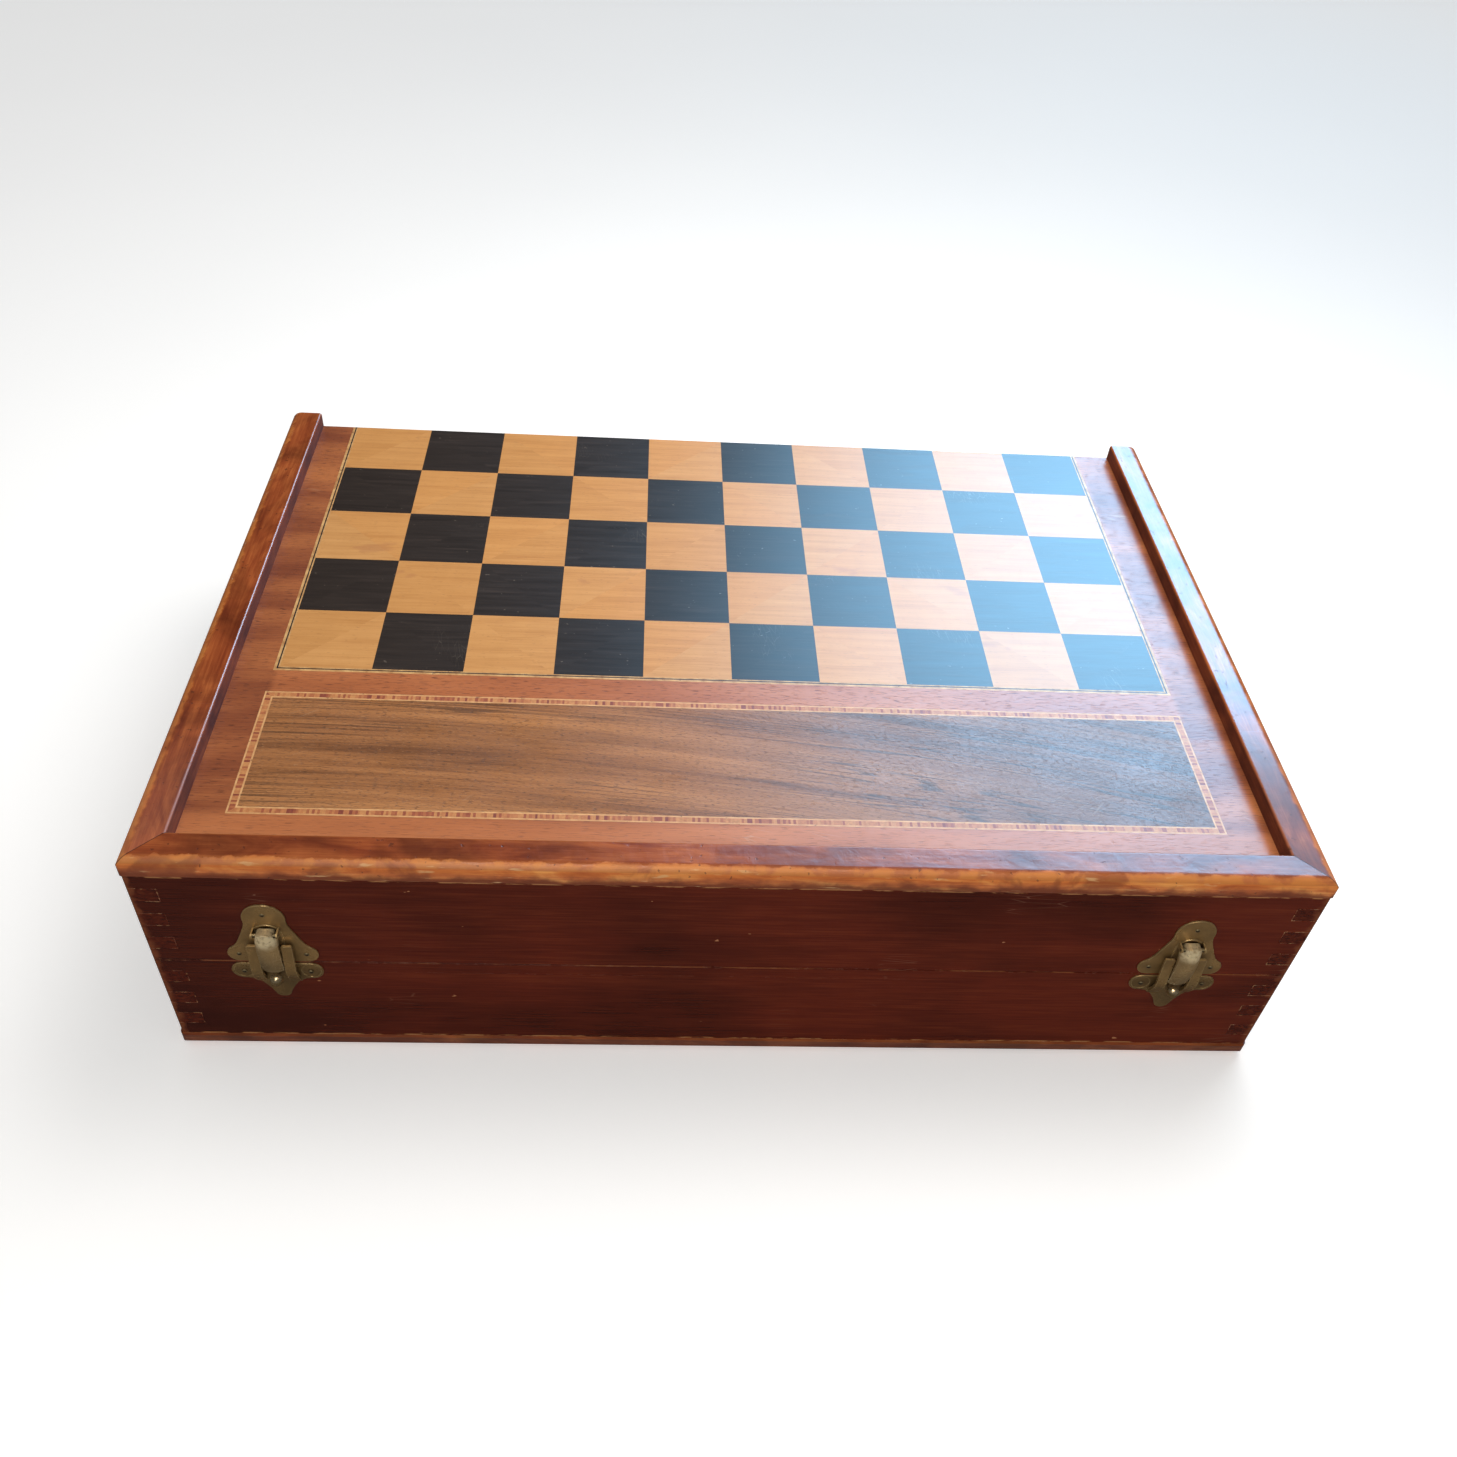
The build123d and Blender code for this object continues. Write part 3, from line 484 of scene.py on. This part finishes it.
def rail_wood(name, axis, wear_and_shade):
    """Rail round the board: a dark polished top, its outer round rubbed back to orange wood by wear (kept
    dark as painted shade when low).
    """
    finish = Finish(name)
    place = finish.place()
    x, y, z = finish.parts(place)
    upright = finish.math("ABSOLUTE", finish.parts(finish.facing())[2])
    from_seam = finish.math("ABSOLUTE", finish.minus(z, SEAM))
    streaks = finish.noise(along(finish, place, axis, 26, 120), detail=5.0, roughness=0.6, distortion=1.2)
    fine = fibres(finish, place, axis)
    tone = finish.plus(finish.times(streaks, 0.72), finish.times(fine, 0.28))
    top = finish.ramp(
        tone,
        (0.34, (0.17, 0.030, 0.010)),
        (0.50, (0.27, 0.062, 0.018)),
        (0.66, (0.42, 0.120, 0.034)),
    )
    cloud = finish.speckle(place, 30, 5.0, distortion=0.6)
    top = finish.shaded(top, cloud, 0.9, (0.36, (0.5, 0.42, 0.42)), (0.6, (1.25, 1.2, 1.15)))
    rubbed = finish.ramp(
        tone,
        (0.34, (0.40, 0.076, 0.013)),
        (0.50, (0.66, 0.175, 0.030)),
        (0.66, (0.90, 0.370, 0.085)),
    )
    # The outer round is rubbed back to bare wood, with an uneven border.
    uneven = finish.speckle(place, 130, 4.0)
    uneven = finish.times(finish.minus(uneven, 0.5), 7 * MM)
    out_x = finish.plus(finish.math("ABSOLUTE", x), uneven)
    out_y = finish.minus(uneven, y)
    past_x = finish.step(out_x, HALF_LENGTH - 4.6 * MM, HALF_LENGTH - 2.8 * MM)
    past_y = finish.step(out_y, HALF_DEPTH - 4.6 * MM, HALF_DEPTH - 2.8 * MM)
    outside = finish.times(finish.math("MAXIMUM", past_x, past_y), wear_and_shade)
    colour = finish.mix(outside, top, rubbed)
    shoulder = finish.times(finish.band(upright, 0.8, 0.12, 0.1), 0.7 * wear_and_shade)
    colour = finish.mix(shoulder, colour, (0.46, 0.140, 0.040))
    bared = finish.times(shoulder, outside, finish.step(uneven, -0.6 * MM, 0.5 * MM))
    colour = finish.stain(colour, (0.7, 0.255, 0.042), bared, 0.75)
    # Painted shade darkens the rail's foot under its round, and old polish is left in patches on the round.
    above_seam = finish.minus(from_seam, uneven)
    foot_shade = finish.step(above_seam, WALL_HEIGHT + 1.4 * MM, WALL_HEIGHT + 5.4 * MM, 1.0, 0.0)
    colour = finish.stain(colour, (0.15, 0.025, 0.007), foot_shade, outside, 0.85)
    patches = finish.step(finish.speckle(place, 48, 5.0, distortion=0.6), 0.52, 0.64)
    colour = finish.stain(colour, (0.24, 0.052, 0.014), patches, outside, 0.6)
    # Pale scuffs and chips on the round.
    scuffs = finish.step(finish.noise(along(finish, place, axis, 75, 420), detail=4.0), 0.62, 0.72)
    colour = finish.stain(colour, (0.8, 0.5, 0.22), scuffs, outside, 0.55)
    chips = finish.step(finish.speckle(place, 170, 4.0), 0.70, 0.74)
    colour = finish.stain(colour, (0.9, 0.72, 0.5), chips, outside, 0.8)
    # A dark line in the mitre, and dirt in small pits.
    from_end = finish.minus(HALF_LENGTH, finish.math("ABSOLUTE", x))
    mitre = finish.band(finish.minus(from_end, finish.plus(HALF_DEPTH, y)), 0.0, 0.12 * MM, 0.22 * MM)
    colour = finish.stain(colour, (0.022, 0.007, 0.004), mitre, 0.9)
    pits = finish.step(finish.speckle(place, 420, 2.0), 0.69, 0.73)
    colour = finish.stain(colour, (0.07, 0.02, 0.01), pits, 0.6)
    dents = finish.speckle(place, 140, 3.0, distortion=0.4)
    height = finish.minus(dents, finish.times(finish.plus(pits, mitre), 0.4))
    normal = finish.bump(height, 0.28, 0.0006)
    normal = finish.bump(fine, 0.25, 0.00006, normal)
    # The inner side is darkened with painted shade and made matt, and the rails are matt where hands hold
    # them, near the front.
    inner_shade_and_matt = finish.times(finish.step(upright, 0.25, 0.6, 1.0, 0.0), finish.minus(1.0, outside))
    colour = finish.stain(colour, (0.06, 0.012, 0.008), inner_shade_and_matt, 0.45)
    matt = 0.36 if axis == "Y" else 0.08
    handled = finish.step(y, -HALF_DEPTH + 16 * MM, -HALF_DEPTH + 120 * MM, matt, 0.0)
    roughness = finish.plus(finish.step(outside, 0.0, 1.0, 0.17, 0.32), handled)
    roughness = finish.math("MAXIMUM", roughness, finish.times(inner_shade_and_matt, 0.75))
    return finish.surface(colour, roughness, normal)


def wall_wood(name, axis):
    """Carcase side: dark red polished mahogany, with broken pale lines round the finger joints."""
    finish = Finish(name)
    place = finish.place()
    x, y, z = finish.parts(place)
    direction = finish.parts(finish.facing())["XYZ".index(axis)]
    streaks = finish.noise(along(finish, place, axis, 7, 260), detail=5.0, roughness=0.62, distortion=0.15)
    fine = fibres(finish, place, axis)
    tone = finish.plus(finish.times(streaks, 0.45), finish.times(fine, 0.55))
    polish = finish.ramp(
        tone,
        (0.30, (0.085, 0.0096, 0.0026)),
        (0.50, (0.116, 0.0142, 0.0036)),
        (0.70, (0.165, 0.0270, 0.0062)),
    )
    cloud = finish.noise(finish.scaled(place, 9, 9, 16), detail=3.0)
    polish = finish.shaded(polish, cloud, 1.0, (0.36, (0.52, 0.5, 0.52)), (0.6, (1.05, 1.0, 0.95)))
    # Painted shade: the wall darkens towards its left end.
    left_end_shade = finish.step(x, -HALF_LENGTH, -0.35 * HALF_LENGTH, 0.42, 0.0)
    polish = finish.mix(left_end_shade, polish, (0.012, 0.004, 0.003))
    # End grain shows where the fingers come through to the other wall's face.
    ends = finish.step(finish.math("ABSOLUTE", direction), 0.55, 0.85)
    rings = finish.noise(finish.scaled(place, 420, 420, 900), detail=3.0, distortion=0.4)
    end_grain = finish.ramp(
        rings,
        (0.34, (0.055, 0.0070, 0.0022)),
        (0.56, (0.088, 0.0110, 0.0030)),
        (0.74, (0.140, 0.0280, 0.0070)),
    )
    colour = finish.mix(ends, polish, end_grain)
    # The corners are rubbed, and chipped polish outlines the fingers.
    out_x = finish.math("ABSOLUTE", x)
    out_y = finish.math("ABSOLUTE", y)
    by_corner = finish.times(
        finish.step(out_x, HALF_LENGTH - 16 * MM, HALF_LENGTH - 12 * MM),
        finish.step(out_y, HALF_DEPTH - 16 * MM, HALF_DEPTH - 12 * MM),
    )
    ragged = finish.speckle(place, 190, 4.0)
    uneven = finish.times(finish.minus(ragged, 0.5), 9 * MM)
    at_corner = finish.times(
        finish.step(finish.plus(out_x, uneven), HALF_LENGTH - 4.5 * MM, HALF_LENGTH - 1.5 * MM),
        finish.step(finish.plus(out_y, uneven), HALF_DEPTH - 4.5 * MM, HALF_DEPTH - 1.5 * MM),
    )
    colour = finish.stain(colour, (0.22, 0.06, 0.02), at_corner, 0.7)
    edges = finish.edge(0.5 * MM)
    rubbed = finish.times(edges, finish.step(ragged, 0.48, 0.6))
    colour = finish.stain(colour, (0.34, 0.095, 0.03), rubbed, 0.7)
    broken = finish.step(finish.speckle(place, 330, 2.0), 0.52, 0.58)
    pale = finish.times(edges, by_corner, broken)
    colour = finish.stain(colour, (0.62, 0.34, 0.15), pale, 0.9)
    # Worn edges along the seam and under the rail.
    from_seam = finish.math("ABSOLUTE", finish.minus(z, SEAM))
    broken_seam = finish.step(finish.noise(along(finish, place, axis, 60, 400), detail=3.0), 0.47, 0.60)
    seam_line = finish.times(finish.step(from_seam, 0.2 * MM, 0.5 * MM, 1.0, 0.0), broken_seam)
    colour = finish.stain(colour, (0.4, 0.13, 0.04), seam_line, 0.6)
    under_rail = finish.band(from_seam, WALL_HEIGHT, 0.5 * MM, 0.5 * MM)
    chips = finish.step(finish.noise(finish.scaled(place, 120, 120, 600), detail=3.0), 0.46, 0.56)
    chipped = finish.times(under_rail, chips)
    colour = finish.stain(colour, (0.5, 0.22, 0.08), chipped, 0.8)
    # Small nicks and scratches.
    nicks = finish.step(finish.noise(finish.scaled(place, 130, 130, 300), detail=2.0), 0.765, 0.785)
    colour = finish.stain(colour, (0.5, 0.2, 0.08), nicks, 0.8)
    marks = scratches(finish, place, 5, 16, 300, 0.05)
    colour = finish.stain(colour, (0.3, 0.14, 0.08), marks, 0.35)
    height = finish.minus(finish.times(fine, 0.5), finish.times(rubbed, 0.5))
    normal = finish.bump(height, 0.30, 0.00008, finish.soft_edges(0.35 * MM))
    roughness = finish.plus(0.24, finish.times(rubbed, 0.2))
    return finish.surface(colour, roughness, normal)


def brass(name, tone, highlight_and_scratch, metallic, shade_span=(-6 * MM, 5 * MM), highlight_height=WALL_HEIGHT):
    """Old pressed brass: dark with dirt and painted shade in its hollows, bright on its edges with wear and
    painted highlights, and lightly scratched. Upward faces carry a painted highlight.

    It carries painted shade below the heights given for the shade, and a painted highlight above the height
    given for the highlight. Both are measured from the seam.
    """
    finish = Finish(name)
    place = finish.place()
    tarnish = finish.noise(finish.scaled(place, 120, 120, 120), detail=5.0, roughness=0.6)
    colour = finish.ramp(tarnish, (0.32, tuple(0.66 * c for c in tone)), (0.60, tone))
    z = finish.parts(place)[2]
    # Painted shade darkens the parts below the shade span.
    low_shade = finish.step(z, SEAM + shade_span[0], SEAM + shade_span[1], 0.62, 0.0)
    colour = finish.mix(low_shade, colour, tuple(0.30 * c for c in tone))
    # Painted highlights on upward faces and above the highlight height, mixed with rubbed wear on the
    # edges.
    patchy = finish.speckle(place, 700, 2.0)
    upwards = finish.step(finish.parts(finish.facing())[2], 0.15, 0.75)
    wear_and_highlight = finish.math("MAXIMUM", finish.edge(0.5 * MM), upwards)
    wear_and_highlight = finish.math("MAXIMUM", wear_and_highlight, finish.step(z, SEAM + highlight_height, SEAM + highlight_height + 5 * MM))
    wear_and_highlight = finish.times(wear_and_highlight, finish.step(patchy, 0.25, 0.55, 0.35, 1.0))
    colour = finish.stain(colour, highlight_and_scratch, wear_and_highlight, 0.8)
    marks = scratches(finish, place, 35, 120, 1500, 0.10)
    colour = finish.stain(colour, highlight_and_scratch, marks, 0.4)
    # Dirt and painted shade darken corners and gaps.
    grime_and_shade = finish.step(finish.hollows(1.6 * MM), 0.15, 0.75, 1.0, 0.0)
    colour = finish.stain(colour, (0.03, 0.018, 0.008), grime_and_shade, 0.85)
    normal = finish.bump(tarnish, 0.15, 0.0001, finish.soft_edges(0.25 * MM))
    roughness = finish.step(tarnish, 0.3, 0.7, 0.36, 0.24)
    return finish.surface(colour, roughness, normal, metallic=metallic)


def old_steel():
    """Screws and nails: dull steel with brown rust in patches."""
    finish = Finish("old_steel")
    place = finish.place()
    rust = finish.speckle(place, 700, 4.0)
    colour = finish.ramp(rust, (0.38, (0.24, 0.21, 0.17)), (0.58, (0.12, 0.055, 0.025)))
    normal = finish.bump(rust, 0.5, 0.0001, finish.soft_edges(0.1 * MM))
    return finish.surface(colour, finish.step(rust, 0.3, 0.7, 0.35, 0.65), normal, metallic=0.8)


def plywood():
    """Inside of a board: plain pale plywood faces with fine straight grain."""
    pale = dict(dark=(0.3, 0.16, 0.075), light=(0.46, 0.28, 0.15), pore=(0.2, 0.1, 0.05))
    return waxed_wood("plywood", "X", pore_amount=0.06, gloss=0.5, **pale)


def finishes():
    """Every CAD part's finish, by the end of the part's name. The first match is used."""
    dark_mahogany = dict(dark=(0.13, 0.030, 0.014), light=(0.27, 0.075, 0.030), pore=(0.05, 0.012, 0.007))
    pale_maple = dict(dark=(0.48, 0.22, 0.080), light=(0.64, 0.33, 0.13), pore=(0.28, 0.12, 0.05))
    ebonised = dict(dark=(0.020, 0.014, 0.011), light=(0.055, 0.035, 0.026), pore=(0.010, 0.007, 0.006))
    plate_brass = brass("plate_brass", (0.385, 0.228, 0.084), (0.78, 0.56, 0.26), 0.50)
    # The tongue carries painted shade on its lower part and a painted highlight on its top.
    tongue_shade_and_highlight = dict(shade_span=(0.0, 15 * MM), highlight_height=14 * MM)
    tongue_brass = brass("tongue_brass", (0.38, 0.235, 0.094), (1.0, 0.82, 0.50), 0.35, **tongue_shade_and_highlight)
    # The stud's span of painted shade lies below it, so it takes none.
    low_shade = (-WALL_HEIGHT, -WALL_HEIGHT / 2)
    stud_brass = brass("stud_brass", (0.46, 0.295, 0.12), (1.0, 0.84, 0.55), 0.82, shade_span=low_shade)
    nail_brass = brass("nail_brass", (0.060, 0.038, 0.018), (0.62, 0.50, 0.28), 0.55)
    hinge_brass = brass("hinge_brass", (0.42, 0.27, 0.105), (0.80, 0.60, 0.30), 0.60)
    steel = old_steel()
    # The lower rails are barely rubbed, so their rounds stay dark as painted shade.
    rail_under = rail_wood("rail_under_short_shaded", "Y", 0.12)
    return (
        ("light_squares", maple_squares()),
        ("dark_squares", ebonised_squares()),
        ("light_stringing", line_wood("light_line", (0.46, 0.220, 0.075), (0.74, 0.450, 0.180))),
        ("dark_stringing", line_wood("dark_line", (0.012, 0.009, 0.008), (0.040, 0.028, 0.022))),
        ("banding_lines", line_wood("banding_line", (0.58, 0.280, 0.105), (0.80, 0.460, 0.200))),
        ("banding_blocks", banding()),
        ("crossband", crossbanding()),
        ("walnut_panel", walnut()),
        # Lower rails: kept dark as painted shade.
        ("lower_front_rail", rail_wood("rail_under_long_shaded", "X", 0.12)),
        ("lower_left_rail", rail_under),
        ("lower_right_rail", rail_under),
        ("front_rail", rail_wood("rail_long", "X", 1.0)),
        ("_rail", rail_wood("rail_short", "Y", 0.8)),
        ("front_wall", wall_wood("wall_long", "X")),
        ("back_wall", wall_wood("wall_back", "X")),
        ("_wall", wall_wood("wall_short", "Y")),
        ("_board", plywood()),
        ("tray_floor", waxed_wood("tray_floor", "X", pore_amount=0.10, scuffs=0.0, **dark_mahogany)),
        ("light_points", waxed_wood("light_points", "Y", pore_amount=0.03, scuffs=0.0, **pale_maple)),
        ("dark_points", waxed_wood("dark_points", "Y", pore_amount=0.08, scuffs=-0.02, **ebonised)),
        ("hinge_screws", steel),
        ("latch_nails", nail_brass),
        ("hinge_lower_leaf", hinge_brass),
        ("hinge_upper_leaf", hinge_brass),
        ("hinge_pin", hinge_brass),
        ("latch_pin", nail_brass),
        ("plate", plate_brass),
        ("tongue", tongue_brass),
        ("stud", stud_brass),
    )


def dress():
    """Gives each CAD part its finish."""
    choices = finishes()
    for name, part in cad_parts.items():
        material = next(finish for ending, finish in choices if name.endswith(ending))
        part.data.materials.clear()
        part.data.materials.append(material)


def camera():
    """The camera, turned by its pitch, yaw and roll."""
    data = bpy.data.cameras.new("camera")
    data.lens = CAMERA_LENS
    data.sensor_width = 36.0
    data.clip_start = 0.01
    obj = bpy.data.objects.new("camera", data)
    bpy.context.scene.collection.objects.link(obj)
    yaw = Matrix.Rotation(math.radians(-CAMERA_YAW), 4, "Z")
    pitch = Matrix.Rotation(math.radians(90 - CAMERA_PITCH), 4, "X")
    roll = Matrix.Rotation(math.radians(CAMERA_ROLL), 4, "Z")
    obj.matrix_world = Matrix.Translation(CAMERA_PLACE) @ yaw @ pitch @ roll
    bpy.context.scene.camera = obj


def panel_mesh(name, width, height):
    """A flat rectangular mesh about the origin."""
    signs = ((-1, -1), (1, -1), (1, 1), (-1, 1))
    corners = [(width / 2 * across, height / 2 * up, 0) for across, up in signs]
    mesh = bpy.data.meshes.new(name)
    mesh.from_pydata(corners, [], [(0, 1, 2, 3)])
    obj = bpy.data.objects.new(name, mesh)
    bpy.context.scene.collection.objects.link(obj)
    return obj


def floor():
    """Plain pale floor. It is left out of reflections, so the polished walls stay dark."""
    finish = Finish("floor")
    grey = finish.speckle(finish.place(), 3, 2.0)
    colour = finish.ramp(grey, (0.3, (0.90, 0.90, 0.90)), (0.7, (0.93, 0.93, 0.93)))
    glow = dict(emission_color=(1.0, 1.0, 1.0), emission_strength=0.38)
    finish.surface(colour, 0.8, finish.bump(grey, 0.1, 0.0005), **glow)
    ground = panel_mesh("floor", FLOOR_WIDTH, FLOOR_WIDTH)
    ground.data.materials.append(finish.material)
    ground.visible_glossy = False


def aim(obj, place):
    """Puts a light at a place, facing the lit point."""
    direction = Vector(LIT_POINT) - Vector(place)
    obj.matrix_world = Matrix.Translation(place) @ direction.to_track_quat("-Z", "Y").to_matrix().to_4x4()


def soft_light(name, place, width, power, colour):
    """A square area light that faces the box."""
    data = bpy.data.lights.new(name, "AREA")
    data.size = width
    data.energy = power
    data.color = colour
    obj = bpy.data.objects.new(name, data)
    bpy.context.scene.collection.objects.link(obj)
    aim(obj, place)
    return obj


def sheen(name, bearing, height, distance, width, tall, colour, glow):
    """A panel that fades towards its edges and is seen only as a sheen in polish and metal.

    Its bearing is from straight behind the box towards +X, and its height is above the horizon, in degrees.
    """
    bearing, height = math.radians(bearing), math.radians(height)
    place = (
        distance * math.cos(height) * math.sin(bearing),
        distance * math.cos(height) * math.cos(bearing),
        distance * math.sin(height) + LIT_POINT[2],
    )
    panel = panel_mesh(name, width, tall)
    aim(panel, place)
    finish = Finish(name)
    x, y, z = finish.parts(finish.place())
    across = finish.math("POWER", finish.math("DIVIDE", x, width / 2), 2.0)
    upwards = finish.math("POWER", finish.math("DIVIDE", y, tall / 2), 2.0)
    middle = finish.times(finish.minus(1.0, across), finish.minus(1.0, upwards))
    light = finish.add("ShaderNodeEmission", {"Color": colour})
    finish.tree.links.new(finish.times(middle, glow), light.inputs["Strength"])
    out = finish.add("ShaderNodeOutputMaterial")
    finish.tree.links.new(light.outputs["Emission"], out.inputs["Surface"])
    panel.data.materials.append(finish.material)
    panel.visible_camera = False
    panel.visible_diffuse = False
    panel.visible_shadow = False


def surroundings(all_round, reflected, behind):
    """Even pale light from all round, with its own strength in reflections.

    The strength in behind is added where the camera looks past the floor.
    """
    world = bpy.data.worlds.new("world")
    bpy.context.scene.world = world
    world.use_nodes = True
    tree = world.node_tree
    background = tree.nodes["Background"]
    path = tree.nodes.new("ShaderNodeLightPath")
    strength = tree.nodes.new("ShaderNodeMapRange")
    strength.inputs["To Min"].default_value = all_round
    strength.inputs["To Max"].default_value = reflected
    tree.links.new(path.outputs["Is Glossy Ray"], strength.inputs["Value"])
    seen = tree.nodes.new("ShaderNodeMath")
    seen.operation = "MULTIPLY_ADD"
    seen.inputs[1].default_value = behind
    tree.links.new(path.outputs["Is Camera Ray"], seen.inputs[0])
    tree.links.new(strength.outputs["Result"], seen.inputs[2])
    tree.links.new(seen.outputs["Value"], background.inputs["Strength"])
    background.inputs["Color"].default_value = (1.0, 0.99, 0.97, 1.0)


dress()
camera()
floor()
key = soft_light("key", place=(0.20, 0.15, 0.68), width=0.5, power=3.9, colour=(1.0, 0.98, 0.95))
key.visible_glossy = False
soft_light("fill", place=(-0.30, -1.0, 1.15), width=0.32, power=2.0, colour=(1.0, 0.94, 0.86))
sheen(
    "window",
    bearing=32,
    height=35,
    distance=2.2,
    width=1.9,
    tall=1.5,
    colour=(0.29, 0.65, 1.0),
    glow=20.0,
)
sheen(
    "ceiling",
    bearing=186,
    height=72,
    distance=1.5,
    width=1.0,
    tall=0.7,
    colour=(1.0, 0.90, 0.74),
    glow=10.0,
)
surroundings(all_round=0.36, reflected=0.035, behind=0.55)
bpy.context.scene.view_settings.view_transform = "Standard"
